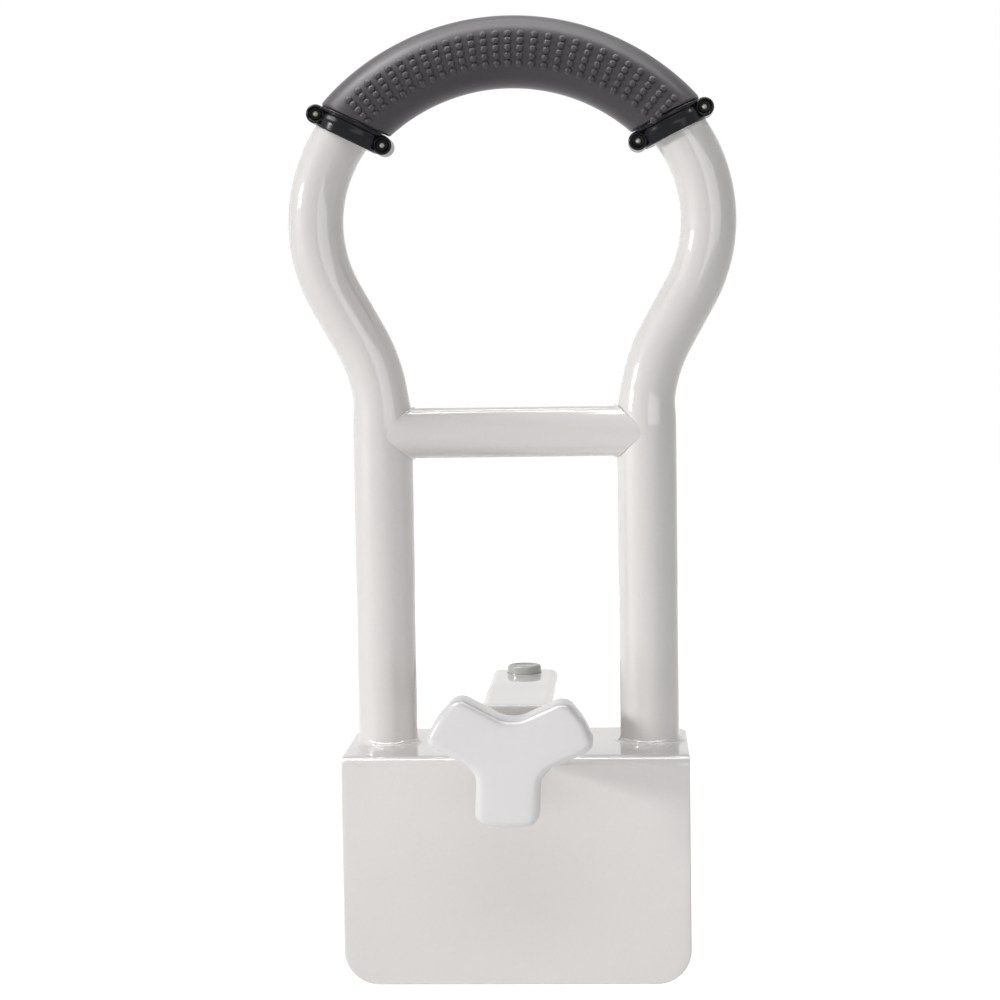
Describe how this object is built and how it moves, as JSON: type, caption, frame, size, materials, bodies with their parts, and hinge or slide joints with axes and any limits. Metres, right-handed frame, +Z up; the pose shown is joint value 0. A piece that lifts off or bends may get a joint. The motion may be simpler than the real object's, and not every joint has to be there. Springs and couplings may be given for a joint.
{
  "type": "bath safety rail",
  "caption": "Bent tube grab rail that clamps over the side of a bath: soft grip, front plate, and a rear jaw on a latched arm drawn tight by a hand knob.",
  "frame": {"origin": "on the bath's rim, at the middle of the rim pad's underside, in the plane of the rail", "axes": "+X along the rim to the right as seen from outside the bath, +Y over the rim into the bath, +Z up"},
  "size_m": [0.2102, 0.1898, 0.4469],
  "materials": {
    "white_paint": "warm off-white powder coat, gloss",
    "white_plastic": "cool white moulded plastic, gloss",
    "grey_rubber": "matte grey",
    "soft_grey": "soft dark grey sleeve with a field of nubs",
    "black_plastic": "black, gloss",
    "black_steel": "blackened",
    "zinc": "zinc plated, satin",
    "brass": "plain",
    "nylon": "natural",
    "grey_plastic": "mid grey, satin"
  },
  "bodies": {
    "rail": {"clamp_body": "white_paint", "frame_tube": "white_paint", "crossbar": "white_paint", "base_weld_left": "white_paint", "base_weld_right": "white_paint", "front_pad": "grey_rubber", "rim_pad": "grey_rubber", "grip_sleeve": "soft_grey", "collar_left_front": "black_plastic", "collar_left_rear": "black_plastic", "collar_right_front": "black_plastic", "collar_right_rear": "black_plastic", "collar_screw_left_inner": "black_steel", "collar_screw_left_outer": "black_steel", "collar_screw_right_inner": "black_steel", "collar_screw_right_outer": "black_steel", "collar_nut_left_inner": "zinc", "collar_nut_left_outer": "zinc", "collar_nut_right_inner": "zinc", "collar_nut_right_outer": "zinc", "guide_bracket": "white_paint", "guide_screw_left_front": "zinc", "guide_screw_left_rear": "zinc", "guide_screw_right_front": "zinc", "guide_screw_right_rear": "zinc", "spindle_bush": "brass"},
    "hand_knob": {"knob": "white_plastic", "knob_insert": "brass", "spindle": "zinc", "retaining_ring": "black_steel"},
    "slide": {"slide_housing": "white_paint", "draw_nut": "zinc", "button_cup": "nylon", "arm_glide_left": "nylon", "arm_glide_right": "nylon"},
    "jaw": {"jaw_arm": "zinc", "arm_end_cap": "black_plastic", "rear_jaw": "white_paint", "jaw_gusset": "white_paint", "rear_pad": "grey_rubber"},
    "button": {"release_button": "grey_plastic", "latch_pin": "zinc", "button_spring": "zinc"}
  },
  "joints": [
    {"name": "knob_turn", "type": "hinge", "parent": "rail", "child": "hand_knob", "pos_m": [0, -0.045, 0.0159], "axis": [0, 1, 0], "range_deg": [-1620, 540]},
    {"name": "slide_draw", "type": "slide", "parent": "rail", "child": "slide", "axis": [0, 1, 0], "range_m": [-0.003, 0.009]},
    {"name": "jaw_slide", "type": "slide", "parent": "slide", "child": "jaw", "axis": [0, 1, 0], "range_m": [0, 0.054]},
    {"name": "button_press", "type": "slide", "parent": "slide", "child": "button", "axis": [0, 0, -1], "range_m": [0, 0.003], "stiffness_N_per_m": 600, "springref_m": -0.004, "deforming": ["button_spring"]}
  ],
  "couplings": [
    {"joint": "knob_turn", "follows": "slide_draw", "rad_per_m": -3141.6}
  ]
}
